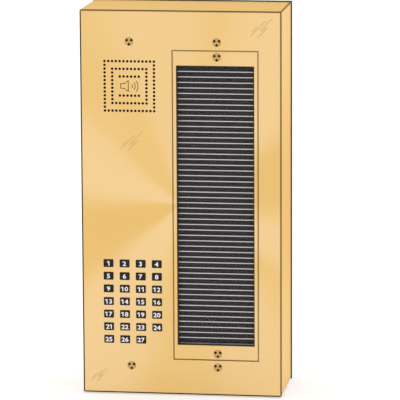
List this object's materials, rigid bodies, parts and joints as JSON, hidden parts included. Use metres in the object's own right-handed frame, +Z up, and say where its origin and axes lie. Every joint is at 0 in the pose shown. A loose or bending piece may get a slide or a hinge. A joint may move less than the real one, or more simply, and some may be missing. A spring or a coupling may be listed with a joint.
{
  "type": "door intercom panel",
  "caption": "Surface-mounted door intercom panel: brass box and front panel, loudspeaker grille, numbered call keys, lift-off directory window.",
  "frame": {"origin": "on the wall face, at the middle of the back of the box", "axes": "+Z up, -Y out of the wall towards the caller, +X to the caller's right"},
  "size_m": [0.232, 0.1036, 0.448],
  "materials": {
    "satin_brass": "satin circular brushed brass, clear lacquer",
    "brass_fastener": "turned brass",
    "black_rubber": "matt moulded rubber",
    "zinc_steel": "bright zinc plated",
    "spring_steel": "drawn wire",
    "key_black": "fine spark texture",
    "carrier_plastic": "moulded, matt",
    "circuit_board": "green solder mask",
    "switch_black": "moulded",
    "terminal_green": "moulded",
    "screen_cloth": "fine woven dust screen",
    "basket_paint": "black paint",
    "ferrite": "ground ferrite",
    "lead_sleeve": "PVC insulation",
    "white_board": "extruded white plastic",
    "strip_black": "matt black printed strip",
    "clear_window": "clear polycarbonate",
    "cone_paper": "pressed paper",
    "copper_wire": "enamelled copper"
  },
  "bodies": {
    "root": {"surface_box": "satin_brass", "perimeter_seal": "black_rubber", "mounting_rails": "zinc_steel", "cable_bushing": "black_rubber", "ground_stud": "brass_fastener"},
    "front": {"front_panel": "satin_brass", "panel_studs": "zinc_steel", "stud_nuts": "zinc_steel", "panel_screws": "brass_fastener", "key_springs": "spring_steel", "key_carrier": "carrier_plastic", "spacers": "zinc_steel", "switch_board": "circuit_board", "call_switches": "switch_black", "terminal_blocks": "terminal_green", "terminal_screws": "zinc_steel", "speaker_screen": "screen_cloth", "speaker_gasket": "black_rubber", "speaker_frame": "basket_paint", "speaker_surround": "black_rubber", "magnet_yoke": "zinc_steel", "magnet_ring": "ferrite", "speaker_terminals": "brass_fastener", "speaker_leads": "lead_sleeve", "directory_tray": "zinc_steel", "strip_board": "white_board", "name_strips": "strip_black"},
    "cover": {"directory_frame": "satin_brass", "window_gasket": "black_rubber", "directory_window": "clear_window", "directory_screws": "brass_fastener"},
    "cone": {"speaker_cone": "cone_paper", "voice_coil": "copper_wire"},
    "key_01": {"key_01": "key_black"},
    "key_02": {"key_02": "key_black"},
    "key_03": {"key_03": "key_black"},
    "key_04": {"key_04": "key_black"},
    "key_05": {"key_05": "key_black"},
    "key_06": {"key_06": "key_black"},
    "key_07": {"key_07": "key_black"},
    "key_08": {"key_08": "key_black"},
    "key_09": {"key_09": "key_black"},
    "key_10": {"key_10": "key_black"},
    "key_11": {"key_11": "key_black"},
    "key_12": {"key_12": "key_black"},
    "key_13": {"key_13": "key_black"},
    "key_14": {"key_14": "key_black"},
    "key_15": {"key_15": "key_black"},
    "key_16": {"key_16": "key_black"},
    "key_17": {"key_17": "key_black"},
    "key_18": {"key_18": "key_black"},
    "key_19": {"key_19": "key_black"},
    "key_20": {"key_20": "key_black"},
    "key_21": {"key_21": "key_black"},
    "key_22": {"key_22": "key_black"},
    "key_23": {"key_23": "key_black"},
    "key_24": {"key_24": "key_black"},
    "key_25": {"key_25": "key_black"},
    "key_26": {"key_26": "key_black"},
    "key_27": {"key_27": "key_black"}
  },
  "joints": [
    {"name": "panel_lift", "type": "slide", "parent": "root", "child": "front", "axis": [0, -1, 0], "range_m": [0, 0.12]},
    {"name": "directory_lift", "type": "slide", "parent": "front", "child": "cover", "axis": [0, -1, 0], "range_m": [0, 0.05]},
    {"name": "cone_travel", "type": "slide", "parent": "front", "child": "cone", "axis": [0, 1, 0], "range_m": [-0.0004, 0.0004], "stiffness_N_per_m": 600, "deforming": ["speaker_surround"]},
    {"name": "key_01_press", "type": "slide", "parent": "front", "child": "key_01", "axis": [0, 1, 0], "range_m": [0, 0.0015], "stiffness_N_per_m": 400, "springref_m": -0.003, "deforming": ["key_springs"]},
    {"name": "key_02_press", "type": "slide", "parent": "front", "child": "key_02", "axis": [0, 1, 0], "range_m": [0, 0.0015], "stiffness_N_per_m": 400, "springref_m": -0.003, "deforming": ["key_springs"]},
    {"name": "key_03_press", "type": "slide", "parent": "front", "child": "key_03", "axis": [0, 1, 0], "range_m": [0, 0.0015], "stiffness_N_per_m": 400, "springref_m": -0.003, "deforming": ["key_springs"]},
    {"name": "key_04_press", "type": "slide", "parent": "front", "child": "key_04", "axis": [0, 1, 0], "range_m": [0, 0.0015], "stiffness_N_per_m": 400, "springref_m": -0.003, "deforming": ["key_springs"]},
    {"name": "key_05_press", "type": "slide", "parent": "front", "child": "key_05", "axis": [0, 1, 0], "range_m": [0, 0.0015], "stiffness_N_per_m": 400, "springref_m": -0.003, "deforming": ["key_springs"]},
    {"name": "key_06_press", "type": "slide", "parent": "front", "child": "key_06", "axis": [0, 1, 0], "range_m": [0, 0.0015], "stiffness_N_per_m": 400, "springref_m": -0.003, "deforming": ["key_springs"]},
    {"name": "key_07_press", "type": "slide", "parent": "front", "child": "key_07", "axis": [0, 1, 0], "range_m": [0, 0.0015], "stiffness_N_per_m": 400, "springref_m": -0.003, "deforming": ["key_springs"]},
    {"name": "key_08_press", "type": "slide", "parent": "front", "child": "key_08", "axis": [0, 1, 0], "range_m": [0, 0.0015], "stiffness_N_per_m": 400, "springref_m": -0.003, "deforming": ["key_springs"]},
    {"name": "key_09_press", "type": "slide", "parent": "front", "child": "key_09", "axis": [0, 1, 0], "range_m": [0, 0.0015], "stiffness_N_per_m": 400, "springref_m": -0.003, "deforming": ["key_springs"]},
    {"name": "key_10_press", "type": "slide", "parent": "front", "child": "key_10", "axis": [0, 1, 0], "range_m": [0, 0.0015], "stiffness_N_per_m": 400, "springref_m": -0.003, "deforming": ["key_springs"]},
    {"name": "key_11_press", "type": "slide", "parent": "front", "child": "key_11", "axis": [0, 1, 0], "range_m": [0, 0.0015], "stiffness_N_per_m": 400, "springref_m": -0.003, "deforming": ["key_springs"]},
    {"name": "key_12_press", "type": "slide", "parent": "front", "child": "key_12", "axis": [0, 1, 0], "range_m": [0, 0.0015], "stiffness_N_per_m": 400, "springref_m": -0.003, "deforming": ["key_springs"]},
    {"name": "key_13_press", "type": "slide", "parent": "front", "child": "key_13", "axis": [0, 1, 0], "range_m": [0, 0.0015], "stiffness_N_per_m": 400, "springref_m": -0.003, "deforming": ["key_springs"]},
    {"name": "key_14_press", "type": "slide", "parent": "front", "child": "key_14", "axis": [0, 1, 0], "range_m": [0, 0.0015], "stiffness_N_per_m": 400, "springref_m": -0.003, "deforming": ["key_springs"]},
    {"name": "key_15_press", "type": "slide", "parent": "front", "child": "key_15", "axis": [0, 1, 0], "range_m": [0, 0.0015], "stiffness_N_per_m": 400, "springref_m": -0.003, "deforming": ["key_springs"]},
    {"name": "key_16_press", "type": "slide", "parent": "front", "child": "key_16", "axis": [0, 1, 0], "range_m": [0, 0.0015], "stiffness_N_per_m": 400, "springref_m": -0.003, "deforming": ["key_springs"]},
    {"name": "key_17_press", "type": "slide", "parent": "front", "child": "key_17", "axis": [0, 1, 0], "range_m": [0, 0.0015], "stiffness_N_per_m": 400, "springref_m": -0.003, "deforming": ["key_springs"]},
    {"name": "key_18_press", "type": "slide", "parent": "front", "child": "key_18", "axis": [0, 1, 0], "range_m": [0, 0.0015], "stiffness_N_per_m": 400, "springref_m": -0.003, "deforming": ["key_springs"]},
    {"name": "key_19_press", "type": "slide", "parent": "front", "child": "key_19", "axis": [0, 1, 0], "range_m": [0, 0.0015], "stiffness_N_per_m": 400, "springref_m": -0.003, "deforming": ["key_springs"]},
    {"name": "key_20_press", "type": "slide", "parent": "front", "child": "key_20", "axis": [0, 1, 0], "range_m": [0, 0.0015], "stiffness_N_per_m": 400, "springref_m": -0.003, "deforming": ["key_springs"]},
    {"name": "key_21_press", "type": "slide", "parent": "front", "child": "key_21", "axis": [0, 1, 0], "range_m": [0, 0.0015], "stiffness_N_per_m": 400, "springref_m": -0.003, "deforming": ["key_springs"]},
    {"name": "key_22_press", "type": "slide", "parent": "front", "child": "key_22", "axis": [0, 1, 0], "range_m": [0, 0.0015], "stiffness_N_per_m": 400, "springref_m": -0.003, "deforming": ["key_springs"]},
    {"name": "key_23_press", "type": "slide", "parent": "front", "child": "key_23", "axis": [0, 1, 0], "range_m": [0, 0.0015], "stiffness_N_per_m": 400, "springref_m": -0.003, "deforming": ["key_springs"]},
    {"name": "key_24_press", "type": "slide", "parent": "front", "child": "key_24", "axis": [0, 1, 0], "range_m": [0, 0.0015], "stiffness_N_per_m": 400, "springref_m": -0.003, "deforming": ["key_springs"]},
    {"name": "key_25_press", "type": "slide", "parent": "front", "child": "key_25", "axis": [0, 1, 0], "range_m": [0, 0.0015], "stiffness_N_per_m": 400, "springref_m": -0.003, "deforming": ["key_springs"]},
    {"name": "key_26_press", "type": "slide", "parent": "front", "child": "key_26", "axis": [0, 1, 0], "range_m": [0, 0.0015], "stiffness_N_per_m": 400, "springref_m": -0.003, "deforming": ["key_springs"]},
    {"name": "key_27_press", "type": "slide", "parent": "front", "child": "key_27", "axis": [0, 1, 0], "range_m": [0, 0.0015], "stiffness_N_per_m": 400, "springref_m": -0.003, "deforming": ["key_springs"]}
  ]
}
